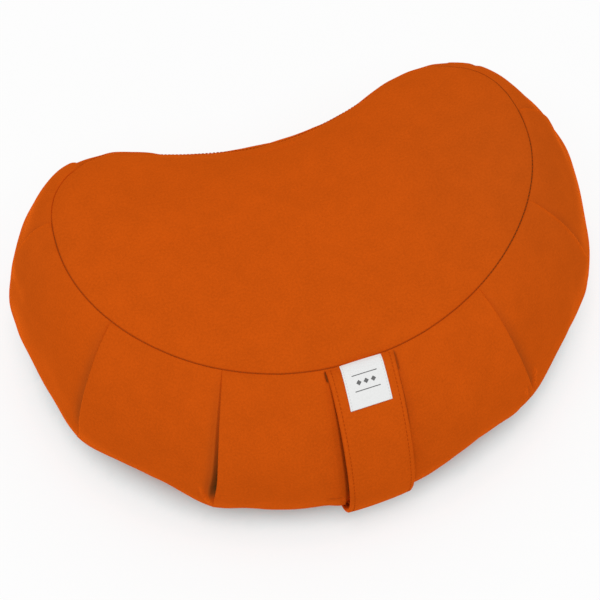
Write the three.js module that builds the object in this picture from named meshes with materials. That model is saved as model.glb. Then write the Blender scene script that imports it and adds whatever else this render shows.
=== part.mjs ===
// Crescent meditation cushion: a filled cloth body with a kidney-shaped top panel, a pleated side
// band and a flat base, a carrying handle sewn over the middle of the front, and a small tag on it.
// Millimetres, +Z up. The rounded front with the handle faces -Y and the hollow back faces +Y.
import * as THREE from "three";

// ---- Driving dimensions ----

// Seam between top panel and side band, seen from above: a squarish oval, bent towards the back.
const SEAM = {
  halfWidth: 180,
  halfDepth: 120,
  squareness: 2.25, // exponent of the oval: 2 is an ellipse
  bend: 23, // how far the tips sit behind the middle
  bendPower: 1.85,
  backBite: 49, // how far the back is hollowed for the sitter
};
const HEIGHT = {
  seam: 109, // seam over the floor, in the middle of the part
  tipRise: 33, // extra height of the seam at the two tips
  crown: 18, // how far the filling lifts the middle of the top panel
  bottomSeam: 8,
};
// How far the filled side band swells out past the top seam, by the way it faces.
const BULGE = { front: 77, side: 50, back: 27, facingPower: 1.5, bottomSeam: 11 };
const PROFILE = {
  widestAt: 0.41, // height of the widest line, as a share of the height from bottom to top seam
  upper: 1.67, // exponents of the upper and lower quarter of the profile: 2 is an ellipse
  lower: 2.5,
};
// Knife pleats, four on each half: where each starts on the seam, as a share of the half seam from
// the middle of the front round to the middle of the back, and how high its fold stands at most.
const PLEATS = [
  { right: 0.211, left: 0.202, step: 5.5 },
  { right: 0.371, left: 0.373, step: 4.5 },
  { right: 0.531, left: 0.564, step: 4 },
  { right: 0.686, left: 0.69, step: 3 },
];
const PLEAT = {
  lip: 5, // run of cloth before the fold's edge
  lipRound: 0.5,
  tuck: 2.5, // how far the crease runs back under the fold
  crease: 1.5, // depth of the crease below the next panel
  creaseAtSeam: 0.6, // how far past the fold the crease meets the seam
  foot: 3, // where the next panel starts, past the crease
};
const PANEL_FLATNESS = 3; // how far the band is drawn in halfway between its folds
const SEAM_CREASE = 1.5;
const CLEARANCE = 0.3; // between sewn pieces

// The handle runs down the front between two turns of the profile. It stands off the band by its
// lift at most, and its lower end is sewn a little to -X.
const HANDLE = {
  width: 49,
  thickness: 3,
  lift: 6.5,
  liftPower: 1.5,
  lean: 10,
  leanTurn: 1.6,
  firstTurn: 0.03,
  lastTurn: 1.95,
};
const TAG = { width: 31, length: 33, thickness: 1, top: 1, aside: -0.4 };

// Faces along the band between two pleats, up its two profile quarters, and over the panels.
const GRID = { perPanel: 11, upperRows: 8, lowerRows: 7 };
// Rings of the top and base panels, as shares of the way from the panel's centre to its seam.
const TOP_RINGS = [0.24, 0.46, 0.64, 0.78, 0.88, 0.95, 0.985];
const BASE_RINGS = [0.97, 0.9, 0.6, 0.3];
const PANEL_CENTRE_Y = 22;

const CLOTH = { color: "#c5500e", roughness: 0.95, metalness: 0 };
const TAG_CLOTH = { color: "#f1f0ec", roughness: 0.85, metalness: 0 };

// ---- The seam outline ----

const powerOf = (value, power) => Math.sign(value) * Math.abs(value) ** power;
const smooth = (value) => {
  const t = Math.min(Math.max(value, 0), 1);
  return t * t * (3 - 2 * t);
};

// Point of the seam outline at an angle, 0 at the +X tip and a quarter turn at the back.
function outlineAt(angle) {
  const across = powerOf(Math.cos(angle), 2 / SEAM.squareness);
  const along = powerOf(Math.sin(angle), 2 / SEAM.squareness);
  const bent = SEAM.bend * Math.abs(across) ** SEAM.bendPower;
  const atBack = smooth(3 * Math.sin(angle));
  const bite = SEAM.backBite * Math.cos((Math.PI / 2) * across) ** 2 * atBack;
  return new THREE.Vector2(SEAM.halfWidth * across, SEAM.halfDepth * along + bent - bite);
}

// Half of the outline from the middle of the front to the middle of the back, by its length.
const HALF_STEPS = 1200;
const halfPoints = [];
const halfLengths = [0];
for (let i = 0; i <= HALF_STEPS; i++) {
  halfPoints.push(outlineAt(-Math.PI / 2 + (Math.PI * i) / HALF_STEPS));
  if (i) halfLengths.push(halfLengths[i - 1] + halfPoints[i].distanceTo(halfPoints[i - 1]));
}
const HALF_LENGTH = halfLengths[HALF_STEPS];

// Seam point and outward direction at a share of the half seam; a negative share is the -X half.
function seamAt(share) {
  const length = Math.abs(share) * HALF_LENGTH;
  let i = 1;
  while (i < HALF_STEPS && halfLengths[i] < length) i++;
  const part = (length - halfLengths[i - 1]) / (halfLengths[i] - halfLengths[i - 1]);
  const point = halfPoints[i - 1].clone().lerp(halfPoints[i], part);
  const before = halfPoints[Math.max(i - 4, 0)];
  const after = halfPoints[Math.min(i + 3, HALF_STEPS)];
  const out = new THREE.Vector2(after.y - before.y, before.x - after.x).normalize();
  if (share < 0) {
    point.x = -point.x;
    out.x = -out.x;
  }
  return { point, out };
}

const seamHeight = (x) => HEIGHT.seam + HEIGHT.tipRise * (x / SEAM.halfWidth) ** 2;

// ---- The pleated band ----

// Columns round one half of the band, from the front to the back: each has its share of the half
// seam and the two pleats that its panel lies between.
function halfColumns(sideName) {
  const columns = [];
  const side = sideName === "right" ? 1 : -1;
  const pleats = PLEATS.map((pleat) => ({ share: pleat[sideName], step: pleat.step }));
  let inner = { share: 0, step: 0 };
  for (const outer of [...pleats, { share: 1, step: 0 }]) {
    const footShare = inner.share && PLEAT.foot / HALF_LENGTH;
    const lipShare = outer.step && PLEAT.lip / HALF_LENGTH;
    const from = inner.share + footShare;
    const to = outer.share - lipShare;
    for (let i = 0; i <= GRID.perPanel; i++) {
      const share = from + ((to - from) * i) / GRID.perPanel;
      columns.push({ side, share, inner, outer });
    }
    if (outer.step) {
      columns.push({ side, share: outer.share, inner, outer, edge: "lip" });
      columns.push({ side, share: outer.share, inner, outer, edge: "crease" });
    }
    inner = outer;
  }
  return columns;
}

// How far a column stands out from the plain band where the pleats are fully open.
function pleatRelief({ share, inner, outer, edge }) {
  const along = (share - inner.share) / (outer.share - inner.share);
  const raised = (outer.step / 2) * along ** 2;
  const tucked = (inner.step / 2) * (1 - along) ** 2;
  const drawnIn = PANEL_FLATNESS * 4 * along * (1 - along);
  if (edge === "crease") return -outer.step / 2 - PLEAT.crease;
  if (edge === "lip") return raised - PLEAT.lipRound;
  return raised - tucked - drawnIn;
}

// Point of the band: turn runs from 0 at the top seam through 1 at the widest line to 2 at the
// bottom seam.
function bandPoint(column, turn) {
  const { point, out } = seamAt(column.side * column.share);
  const facing = -out.y;
  const bulge =
    BULGE.side +
    (BULGE.front - BULGE.side) * Math.max(facing, 0) ** BULGE.facingPower +
    (BULGE.back - BULGE.side) * Math.max(-facing, 0) ** BULGE.facingPower;
  const top = seamHeight(point.x);
  const widest = HEIGHT.bottomSeam + PROFILE.widestAt * (top - HEIGHT.bottomSeam);
  const quarter = (Math.PI / 2) * turn;
  let offset, z;
  if (turn <= 1) {
    offset = bulge * Math.sin(quarter) ** (2 / PROFILE.upper);
    z = widest + (top - widest) * Math.cos(quarter) ** (2 / PROFILE.upper);
  } else {
    const under = Math.max(-Math.cos(quarter), 0) ** (2 / PROFILE.lower);
    const over = Math.max(Math.sin(quarter), 0) ** (2 / PROFILE.lower);
    offset = BULGE.bottomSeam + (bulge - BULGE.bottomSeam) * over;
    z = widest - (widest - HEIGHT.bottomSeam) * under;
  }
  const opening = smooth(turn) * (1 - smooth(turn - 1));
  offset += pleatRelief(column) * opening;
  const slip = column.edge === "crease" ? PLEAT.creaseAtSeam - PLEAT.tuck * opening : 0;
  const seamWay = new THREE.Vector2(-out.y, out.x).multiplyScalar(column.side * slip);
  return new THREE.Vector3(
    point.x + out.x * offset + seamWay.x,
    point.y + out.y * offset + seamWay.y,
    z,
  );
}

// ---- Solids ----

// Closed mesh through rings of points that all run the same way round, closed by a fan at each end.
function loft(rings) {
  const count = rings[0].length;
  const points = rings.flat();
  const index = [];
  rings.slice(1).forEach((_, row) => {
    for (let i = 0; i < count; i++) {
      const a = row * count + i;
      const b = row * count + ((i + 1) % count);
      index.push(a, a + count, b, b, a + count, b + count);
    }
  });
  for (const [ring, start] of [[rings[0], 0], [rings.at(-1), points.length - count]]) {
    const centre = new THREE.Vector3();
    ring.forEach((p) => centre.addScaledVector(p, 1 / count));
    const middle = points.push(centre) - 1;
    for (let i = 0; i < count; i++) {
      const pair = [start + i, start + ((i + 1) % count)];
      if (start) pair.reverse();
      index.push(middle, ...pair);
    }
  }
  return new THREE.BufferGeometry().setFromPoints(points).setIndex(index);
}

function cushionGeometry() {
  const around = [...halfColumns("right"), ...halfColumns("left").slice(1, -1).reverse()];
  const centre = new THREE.Vector2(0, PANEL_CENTRE_Y);
  // A ring of a panel: the seam drawn in towards the panel's centre.
  const panelRing = (scale, edgeRow, heightOf) =>
    edgeRow.map((p) => {
      const flat = new THREE.Vector2(p.x, p.y).sub(centre).multiplyScalar(scale).add(centre);
      return new THREE.Vector3(flat.x, flat.y, heightOf(flat, scale));
    });
  const bandRow = (turn) => around.map((column) => bandPoint(column, turn));
  const crowned = (p, scale) => seamHeight(p.x) + HEIGHT.crown * (1 - scale ** 2);

  const topSeam = bandRow(0);
  const bottomSeam = bandRow(2);
  const rings = TOP_RINGS.map((scale) => panelRing(scale, topSeam, crowned));
  rings.push(topSeam.map((p) => p.clone().setZ(p.z - SEAM_CREASE)));
  for (let i = 1; i <= GRID.upperRows; i++) rings.push(bandRow(i / GRID.upperRows));
  for (let i = 1; i <= GRID.lowerRows; i++) rings.push(bandRow(1 + i / GRID.lowerRows));
  for (const scale of BASE_RINGS) rings.push(panelRing(scale, bottomSeam, () => 0));
  return loft(rings);
}

// The band's middle line down the front, where the handle lies, as points with outward normals.
function frontLine(steps) {
  const column = halfColumns("right")[0];
  const bandAt = (turn) => bandPoint(column, turn);
  const line = [];
  for (let i = 0; i <= steps; i++) {
    const turn = HANDLE.firstTurn + ((HANDLE.lastTurn - HANDLE.firstTurn) * i) / steps;
    const here = bandAt(turn);
    const along = bandAt(turn + 0.01).sub(bandAt(turn - 0.01)).normalize();
    const out = new THREE.Vector3(0, along.z, -along.y);
    line.push({ here, out, turn });
  }
  return line;
}

// A strip of cloth over the front line, leaning to -X on its way down: its inner face stands off
// the band by the gap at each turn.
function stripGeometry(line, { width, thickness, aside = 0 }, gapAt) {
  const rings = line.map(({ here, out, turn }) => {
    const inner = here.clone().addScaledVector(out, gapAt(turn));
    const outer = inner.clone().addScaledVector(out, thickness);
    const middle = aside - HANDLE.lean * smooth(turn / HANDLE.leanTurn);
    return [
      [inner, -1],
      [outer, -1],
      [outer, 1],
      [inner, 1],
    ].map(([p, side]) => new THREE.Vector3(middle + (side * width) / 2, p.y, p.z));
  });
  return loft(rings);
}

const handleGap = (turn) => {
  const along = (turn - HANDLE.firstTurn) / (HANDLE.lastTurn - HANDLE.firstTurn);
  return CLEARANCE + HANDLE.lift * Math.sin(Math.PI * along) ** HANDLE.liftPower;
};

function handleGeometry() {
  return stripGeometry(frontLine(30), HANDLE, handleGap);
}

function tagGeometry() {
  const overHandle = (turn) => handleGap(turn) + HANDLE.thickness + CLEARANCE;
  const line = frontLine(60);
  const first = line[0].here;
  const under = line.filter(({ here }) => {
    const run = here.distanceTo(first);
    return run >= TAG.top && run <= TAG.top + TAG.length;
  });
  return stripGeometry(under, TAG, overHandle);
}

// ---- The cushion ----

function cloth(name, geometry, look) {
  const mesh = new THREE.Mesh(geometry, new THREE.MeshStandardMaterial(look));
  mesh.name = name;
  return mesh;
}

const body = new THREE.Group();
body.add(
  cloth("cushion", cushionGeometry(), CLOTH),
  cloth("handle", handleGeometry(), CLOTH),
  cloth("tag", tagGeometry(), TAG_CLOTH),
);

// The origin is under the middle of the whole cushion, on the floor.
const bounds = new THREE.Box3().setFromObject(body);
const middle = bounds.getCenter(new THREE.Vector3());
body.position.set(-middle.x, -middle.y, -bounds.min.z);

const crescentCushion = new THREE.Group();
crescentCushion.add(body);
export default crescentCushion;
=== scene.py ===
"""Crescent meditation cushion: a filled cloth body with a crowned top panel and a pleated side
band, a carrying handle over the middle of the front, and a small plain tag on the handle.

Metres, +Z up. The rounded front with the handle faces -Y and the hollow back faces +Y."""

import math

import bpy
import numpy as np
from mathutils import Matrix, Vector


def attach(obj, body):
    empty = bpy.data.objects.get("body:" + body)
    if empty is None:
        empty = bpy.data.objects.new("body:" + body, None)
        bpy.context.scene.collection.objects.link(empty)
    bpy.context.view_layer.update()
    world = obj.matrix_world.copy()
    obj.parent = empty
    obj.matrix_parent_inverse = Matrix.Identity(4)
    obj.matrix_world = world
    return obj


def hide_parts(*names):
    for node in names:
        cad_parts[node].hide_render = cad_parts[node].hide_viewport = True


bl_info = {
    "name": "Crescent Meditation Cushion",
    "version": (1, 0, 0),
    "blender": (4, 5, 0),
    "location": "View3D > Sidebar > Cushion",
    "description": "Makes a pleated crescent floor cushion with its handle, tag and stitching",
    "category": "Add Mesh",
}

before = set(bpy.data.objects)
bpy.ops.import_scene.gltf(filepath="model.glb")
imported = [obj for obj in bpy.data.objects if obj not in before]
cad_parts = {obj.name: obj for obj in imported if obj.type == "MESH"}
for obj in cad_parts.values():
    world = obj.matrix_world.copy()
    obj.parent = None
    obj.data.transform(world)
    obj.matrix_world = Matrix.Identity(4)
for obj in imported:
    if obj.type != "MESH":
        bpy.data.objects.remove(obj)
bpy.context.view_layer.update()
BODY = "root"
MM = 0.001
SEED = 7

# ---- The pattern that the cushion is cut to ----

PATTERN_PLACE = (-0.45 * MM, 44.26 * MM, 0.0)  # where the pattern's origin lies in the CAD frame
SEAM = {
    "squareness": 2.25,  # exponent of the oval: 2 is an ellipse
    "bend_power": 1.85,
    "centre_y": 22 * MM,
    "steps": 2400,
}
PROFILE = {
    "widest_at": 0.41,  # height of the widest line, between the bottom and the top seam
    "upper": 1.67,  # exponents of the upper and lower quarter: 2 is an ellipse
    "lower": 2.5,
    "facing_power": 1.5,
    "bottom_seam_out": 11 * MM,
    "bottom_seam_up": 8 * MM,
}
CROWN = {"across": 0.9, "along": 0.75, "tips": 4.0}


def pleat(share, drift, step, mouth, corner=0.0, late=1.0, shut=1.0, back=0.75, dark=1.0, rub=0.5):
    """A knife pleat that starts at a share of the half seam. In millimetres: how far its fold runs
    towards the front on its way down, how high it stands, how wide the gap beside it opens, and how
    far it pushes out a corner of the outline. Then how late the gap opens, at which turns of the
    profile the fold is shut again and starts to run back out, how much painted shade its gap gets
    and how much painted highlight lies along its edge."""
    return {
        "share": share, "drift": drift * MM, "step": step * MM, "mouth": mouth * MM,
        "corner": corner * MM, "late": late, "shut": shut, "back": back, "dark": dark, "rub": rub,
    }


NO_FOLD = pleat(0.0, 0.0, 0.0, 0.0)
# From the front round to the back; the first on each side is the channel along the handle's edge.
PLEATS = {
    "right": (
        pleat(0.0500, 11.0, 0.6, 1.6, late=0.4, shut=0.5, dark=0.8),
        pleat(0.2098, 8.2, 5.0, 1.5, corner=1.2, shut=0.95, dark=1.4),
        pleat(0.3698, 6.6, 3.6, 0.9, corner=1.0, late=0.75, shut=0.82, dark=0.8, rub=1.2),
        pleat(0.531, 4.0, 3.2, 0.9, shut=0.47, rub=1.8),
        pleat(0.686, 4.0, 0.3, 0.2, shut=0.6),
    ),
    "left": (
        pleat(0.0490, -0.6, 0.6, 3.0, late=0.35, shut=1.25, back=9.0, dark=0.8),
        pleat(0.202, 3.5, 1.8, 4.3, corner=2.6, late=0.85, shut=0.96, back=0.67, dark=1.35),
        pleat(0.3738, 7.2, 3.8, 2.0, corner=1.5, shut=0.95, back=0.8, dark=1.7),
        pleat(0.564, 5.0, 4.0, 1.2, shut=0.58, rub=1.8),
        pleat(0.690, 4.0, 2.0, 0.4, shut=0.75),
    ),
}
# How much fuller than the plain form each half of the band is, in millimetres, at equal steps
# from the front to the back: it is drawn in between the pleats, and fuller where the back hollows.
FULLNESS = {
    "right": (2.4, 1.6, -3.4, -3.4, 0.6, -4.4, -3.4, 0.6, -0.3, -2.8, 1.2,
              -2.0, -5.0, -0.6, -1.2, 2.6, -2.6, -4.2, 0.4, 4.0, 5.6),
    "left": (2.4, 3.4, 1.4, -0.8, 2.8, -3.0, -6.2, 0.2, -1.2, -7.2, 0.2,
             1.2, -5.0, -0.6, 1.8, 2.2, -4.6, -3.2, 1.8, 5.0, 5.0),
}
SIDES = {"right": 1.0, "left": -1.0}


def crease(side, start, end, height, width):
    """A small wrinkle: it runs between two places, each a share of the half seam and a turn of the
    profile, and stands up by its height, or lies sunk where that is below 0. In millimetres."""
    return {"side": side, "start": start, "end": end, "height": height * MM, "width": width * MM}


CREASES = (
    crease("left", (0.0527, 0.02), (0.0510, 0.12), -2.6, 1.0),
    crease("right", (0.0500, 0.02), (0.0426, 0.18), -1.6, 1.0),
    crease("left", (0.213, 0.81), (0.202, 1.02), 1.0, 1.5),
    crease("left", (0.214, 0.86), (0.208, 1.08), -0.8, 1.8),
    crease("left", (0.078, 0.92), (0.053, 0.94), -1.2, 1.5),
    crease("right", (0.212, 0.74), (0.203, 0.93), 1.5, 1.3),
    crease("right", (0.185, 0.75), (0.181, 0.98), 1.4, 1.1),
    crease("right", (0.189, 0.75), (0.186, 0.95), -0.7, 1.1),
    crease("right", (0.184, 1.03), (0.182, 1.15), -1.3, 2.0),
    crease("right", (0.645, 0.10), (0.645, 0.45), -1.2, 2.8),
    crease("right", (0.620, 0.30), (0.622, 0.75), -1.5, 2.8),
)
# How far a fold and the gap beside it have opened, by the turn of the profile as a share of the
# turn at which the fold is shut. Turns are 0 at the top seam, 1 on the widest line, 2 at the base.
FOLD_TURNS = (0.0, 0.3, 0.6, 0.82, 0.93, 1.03, 1.2, 3.0)
FOLD_OPEN = (0.0, 0.35, 0.75, 1.0, 0.7, 0.05, 0.0, 0.0)
GAP_TURNS = (0.0, 0.3, 0.6, 0.85, 0.95, 1.0, 1.1, 3.0)
GAP_OPEN = (0.0, 0.25, 0.6, 1.0, 0.85, 0.1, 0.0, 0.0)
OPENING = {
    "eased": 0.12,
    "rooted": 0.05,  # the turns from the top seam over which it holds a fold shut
    "edge_rooted": 0.06,
    "edge_ends": 0.85,  # where a fold's doubled edge thins out, as a share of where it is shut
    "edge_over": 0.17,
}
DRIFT_TURNS = {"full": 0.75, "back_over": 0.5}
# Section through a fold, from its edge through the gap to the next panel: how far it lies along
# the seam where the fold is closed, in millimetres, and in gap widths and tucks where it is open,
# and how deep, in thicknesses of the folded edge, in steps and in gap depths. "dark" is how much
# painted shade the cloth there gets.
SECTION_KEYS = ("closed", "mouths", "tucks", "lips", "steps", "gaps", "dark")
FOLD_SECTION = tuple(
    dict(zip(SECTION_KEYS, row))
    for row in (
        (0.00, 0.0, 0.0, 0.15, 0.0, 0.00, 0.00),
        (0.15, 0.1, 0.0, 0.60, 0.0, 0.00, 0.00),
        (0.20, 0.0, 0.1, 1.00, 0.3, 0.10, 0.50),
        (0.25, 0.0, 0.6, 1.00, 0.6, 0.60, 1.00),
        (0.30, 0.1, 1.0, 0.50, 1.0, 1.00, 1.00),
        (0.35, 0.6, 0.4, 0.30, 1.0, 0.85, 1.00),
        (0.40, 1.0, 0.0, 0.00, 1.0, 0.50, 0.80),
        (0.50, 1.3, 0.0, 0.00, 1.0, 0.15, 0.45),
    )
)
FOLD = {
    "lip": 1.6 * MM,
    "lip_share": 0.6,  # the most of a step that the folded edge takes up
    "tuck": 3.0 * MM,
    "layer": 0.9 * MM,
    "depth": 1.5,
    "closes": 1.5,  # how soon the closed section gives way as the gap opens
    "reach": 16 * MM,
    "pushed": 1.45,  # how far the cloth past a gap is pushed along by it, in gap widths
    "rounded": 0.5,  # how deep the cloth past a gap rounds down into it, in gap widths
    "rounded_reach": 3.5 * MM,
    "rounded_step": 1.8 * MM,
    "corner_reach": 24 * MM,
    "dark": 0.8,  # how much painted shade the cloth in an open gap gets
    "dark_power": 1.5,
    "shadow": 0.25,  # how much painted shadow the cloth beside an open fold gets
    "shadow_reach": 4.5 * MM,
    "shadow_step": 2.0 * MM,
    # how far the painted highlight along a fold's edge reaches
    "highlight_reach": 1.2 * MM,
}
NEAR_FOLD = (0.8 * MM, 1.8 * MM, 3.2 * MM, 5.0 * MM)  # extra columns on both sides of a fold
COLUMN_GAP = 2.0 * MM
FULL_FROM = 0.5  # turns from each seam over which the band fills out

SEAM_TURNS = (0.0, 0.004, 0.008, 0.013, 0.020, 0.033, 0.05, 0.075)
NEAR_SEAM = (0.25 * MM, 0.5 * MM, 0.85 * MM, 1.4 * MM, 2.3 * MM, 3.6 * MM, 5.5 * MM)
# Painted shade in the top seam's crease: shares of the half seam, and how much painted shade the
# cloth gets there.
PAINTED_SEAM_SHADE = {
    "right": ((0.0, 0.2, 0.3, 0.66, 0.74), (0.58, 0.68, 1.70, 1.70, 0.10)),
    "left": ((0.0, 0.2, 0.54, 0.58, 1.0), (0.58, 0.62, 0.88, 0.12, 0.05)),
}
# At the back the top panel is pulled over the edge: its seam lies this far down the band.
PULLED = {"from": 0.67, "over": 0.07, "down": 10 * MM}
GROOVE = {
    "depth": 1.1 * MM,
    "reach": 0.36 * MM,
    # how far from the seam its painted shade reaches
    "painted_shade_reach": 0.32 * MM,
    "puff": 0.3 * MM,
    "puff_at": 4.0 * MM,
}
# Painted light along the widest line, in place of the light that the white floor throws up on it.
PAINTED_RIM_LIGHT = {"by": 1.5, "turn": 1.16, "over": 0.16}
# How much painted highlight is on the ridges of small wrinkles, and painted shade in their valleys,
# for each metre of their height; and the shares of the half seam near one where columns lie closer.
WRINKLED = {"ridge_highlight": 4200, "valley_shade": 300, "near": 0.013}
# Painted shade round these places, towards the ends, where the cushion's sides are darker in its
# light.
PAINTED_SHADE_SPOTS = (
    {"place": (175 * MM, -24 * MM), "reach": 90 * MM, "dark": 0.13},
    {"place": (-215 * MM, 25 * MM), "reach": 45 * MM, "dark": 0.08},
)
# The filling's soft unevenness: its shortest and longest waves on the band and on the top panel,
# and where it is held down, in turns from the seams of the band and from the panel's edge.
UNEVEN = {
    "band": (22 * MM, 70 * MM),
    "panel": (45 * MM, 140 * MM),
    "top_turns": 0.4,
    "base_turns": 0.3,
    "from_edge": 40 * MM,
}
BAND_TURNS = 110
TOP_TURNS = (0.25, 18)  # closer rows from the top seam to here, where the back seam lies lower
PANEL_REACH = 130 * MM  # the mean way from a panel's middle to its seam
INNERMOST = 0.03  # the smallest ring of a panel, as a share of its seam
PANEL_RINGS = 34
HALVINGS = (0.62, 0.36, 0.2, 0.1)  # rings of a panel where every other column ends
BASE_RINGS = 22
BASE_EDGE = 7 * MM  # from the bottom seam in to where the base lies flat on the floor

# ---- The filling: a pressed coarse copy of the cover that moves the fine one ----

FILLING = {
    "columns": 132,
    "rings": 12,
    "inner_ring": 0.1,
    "turns": 25,
    "frames": 20,
    "pressure": 4.0,
    "slack": 0.012,
    "stiffness": 0.8,
    "pin_stiffness": 2,
    "quality": 6,
    "pleat_hold": 0.75,
    "full_by": 0.5,  # the ring of the panel from which its moves count in full
    "most": 2.5 * MM,
}


# ---- Small sums that the pieces share ----


def smooth(value):
    t = np.clip(value, 0, 1)
    return t * t * (3 - 2 * t)


def bell(distance, reach):
    """1 at no distance, falling away over the reach."""
    return np.exp(-((distance / reach) ** 2))


def held_at_ends(place, first, last, length):
    """1 along a length, eased to 0 over a first and a last stretch of it."""
    return smooth(place / first) * smooth((length - place) / last)


def signed_power(value, power):
    return np.sign(value) * np.abs(value) ** power


def unit(vectors):
    """The same directions with a length of 1."""
    return vectors / np.linalg.norm(vectors, axis=-1, keepdims=True)


def lengths_along(points):
    """How long a line is up to each of its points, or a grid's lines down its rows."""
    step = np.linalg.norm(np.diff(points, axis=0), axis=-1)
    return np.concatenate([np.zeros((1, *step.shape[1:])), np.cumsum(step, axis=0)])


def rows_at(place, places, *tables):
    """Rows of each table, read between its own rows at a place."""
    return (
        np.stack([np.interp(place, places, column) for column in table.T], -1) for table in tables
    )


def places_around(around):
    """Sides and shares of the half seam: 0 to 1 round the right half, then 1 to 2 back."""
    return np.where(around <= 1, 1.0, -1.0), np.where(around <= 1, around, 2 - around)


def eased(value, places, heights, width=0.15):
    """A table's height at a value, eased over a width between its places."""
    fine = np.linspace(places[0], places[-1], 601)
    reach = int(width / 2 / (fine[1] - fine[0]))
    kernel = np.hanning(2 * reach + 3)[1:-1]
    coarse = np.pad(np.interp(fine, places, heights), reach, mode="edge")
    return np.interp(value, fine, np.convolve(coarse, kernel / kernel.sum(), mode="valid"))


def cubic_rows(values, place):
    """Smooth interpolation along the first axis at fractional places."""
    i = np.floor(place).astype(int)
    t = (place - i).reshape(-1, *[1] * (values.ndim - 1))
    weights = ((1 - t) ** 3, 3 * t**3 - 6 * t**2 + 4, -3 * t**3 + 3 * t**2 + 3 * t + 1, t**3)
    last = len(values) - 1
    taken = (values[np.clip(i + k - 1, 0, last)] for k in range(4))
    return sum(w / 6 * v for w, v in zip(weights, taken))


def undulation(points, seed, waves, count=14):
    """Gentle unevenness of the filling, from -1 to 1: a sum of seeded waves."""
    rng = np.random.default_rng(seed)
    total = np.zeros(points.shape[:-1])
    for _ in range(count):
        direction = rng.normal(size=3)
        direction /= np.linalg.norm(direction)
        turned = points @ direction * (2 * math.pi / rng.uniform(*waves))
        total += np.sin(turned + rng.uniform(0, 6.3))
    return total / math.sqrt(count * 2)


# ---- The plain form: the seam outline, the band's profile and the crown of the top panel ----


class Pattern:
    """The cushion's plain form, without its pleats and wrinkles."""

    nudge = {"share": 0.002, "turn": 0.01}  # steps that the normals are worked out over

    def __init__(self, sizes):
        self.s = sizes
        angle = np.linspace(-math.pi / 2, math.pi / 2, SEAM["steps"] + 1)
        power = 2 / SEAM["squareness"]
        across = np.maximum(signed_power(np.cos(angle), power), 0)
        along = signed_power(np.sin(angle), power)
        y = sizes.half_depth * along + self.bend(across) - self.bite(across) * (angle > 0)
        self.points = np.stack([sizes.half_width * across, y], -1)
        self.lengths = lengths_along(self.points)
        self.half_length = self.lengths[-1]
        tangent = np.gradient(self.points, self.lengths, axis=0)
        out = np.stack([tangent[:, 1], -tangent[:, 0]], -1)
        out[0], out[-1] = (0, -1), (0, 1)
        self.out = unit(out)

    def bend(self, across):
        return self.s.bend * np.abs(across) ** SEAM["bend_power"]

    def bite(self, across):
        return self.s.back_bite * np.cos(math.pi / 2 * np.clip(across, -1, 1)) ** 2

    def seam_at(self, side, share):
        """Seam points and outward directions at shares of the half seam; side is 1 or -1."""
        length = np.clip(share, 0, 1) * self.half_length
        mirror = np.stack([side, np.ones_like(side)], -1)  # the left half is the right one mirrored
        return tuple(row * mirror for row in rows_at(length, self.lengths, self.points, self.out))

    def seam_height(self, x):
        return self.s.seam_height + self.s.tip_rise * (x / self.s.half_width) ** 2

    def crown_height(self, x, y):
        """Height of the top panel: the seam's, with the crown of the filling on it."""
        across = np.clip(np.abs(x) / self.s.half_width, 0, 1)
        half = self.s.half_depth * (1 - across ** SEAM["squareness"]) ** (1 / SEAM["squareness"])
        front = -half + self.bend(across)
        back = half + self.bend(across) - self.bite(across)
        place = np.clip((2 * y - front - back) / np.maximum(back - front, 1e-6), -1, 1)
        swell = (1 - place**2) ** CROWN["across"] * (1 - across ** CROWN["tips"]) ** CROWN["along"]
        return self.seam_height(x) + self.s.crown * swell

    def form(self, side, share, turn):
        """The plain band, before its pleats: a grid of turns by columns."""
        point, out = self.seam_at(side, share)
        s, facing = self.s, -out[..., 1]
        bulge = s.bulge_side
        for most, towards in ((s.bulge_front, facing), (s.bulge_back, -facing)):
            faced = np.maximum(towards, 0) ** PROFILE["facing_power"]
            bulge = bulge + (most - s.bulge_side) * faced
        top = self.seam_height(point[..., 0])
        low, seam_out = PROFILE["bottom_seam_up"], PROFILE["bottom_seam_out"]
        widest = low + PROFILE["widest_at"] * (top - low)
        quarter = math.pi / 2 * np.asarray(turn)[:, None]
        sine, cosine = np.maximum(np.sin(quarter), 0), np.cos(quarter)
        upper, lower = 2 / PROFILE["upper"], 2 / PROFILE["lower"]
        above = quarter <= math.pi / 2
        offset = np.where(above, bulge * sine**upper, seam_out + (bulge - seam_out) * sine**lower)
        upper_z = widest + (top - widest) * np.maximum(cosine, 0) ** upper
        lower_z = widest - (widest - low) * np.maximum(-cosine, 0) ** lower
        x, y = (point[..., i] + out[..., i] * offset for i in (0, 1))
        return np.stack([x, y, np.where(above, upper_z, lower_z)], -1)

    def form_normals(self, side, share, turn):
        """Outward unit normals of the plain band."""
        nudge, step = self.nudge["share"], self.nudge["turn"]
        after = self.form(side, np.minimum(share + nudge, 1), turn)
        around = after - self.form(side, np.maximum(share - nudge, 0), turn)
        ends = np.broadcast_to((share < nudge) | (share > 1 - nudge), around.shape[:2])
        around[..., 1:] *= ~ends[..., None]
        turn = np.asarray(turn)
        below = self.form(side, share, np.minimum(turn + step, 2))
        down = below - self.form(side, share, np.maximum(turn - step, 0))
        return unit(np.cross(down, around) * side[:, None])


def put_in_place(points):
    """Points of the pattern in the CAD frame."""
    return np.asarray(points) + np.array(PATTERN_PLACE)


# ---- Seams, pleats and wrinkles on the plain form ----


def pulled_down(share):
    """How far down the band the top seam lies at shares of the half seam."""
    return PULLED["down"] * smooth((share - PULLED["from"]) / PULLED["over"])


def from_top_seam(grid, share):
    """How far a grid's points lie from the top seam, which is pulled down at the back."""
    return np.abs(np.linalg.norm(grid - grid[:1], axis=-1) - pulled_down(share))


def seam_groove(distance):
    """How far the cloth sinks at a distance from a seam; it puffs up a little beside it."""
    puffed = GROOVE["puff"] * np.exp(-((distance / GROOVE["puff_at"] - 1) ** 2) * 3)
    sunk = GROOVE["depth"] * bell(distance, GROOVE["reach"])
    return sunk - puffed * smooth(distance / GROOVE["puff_at"])


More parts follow.
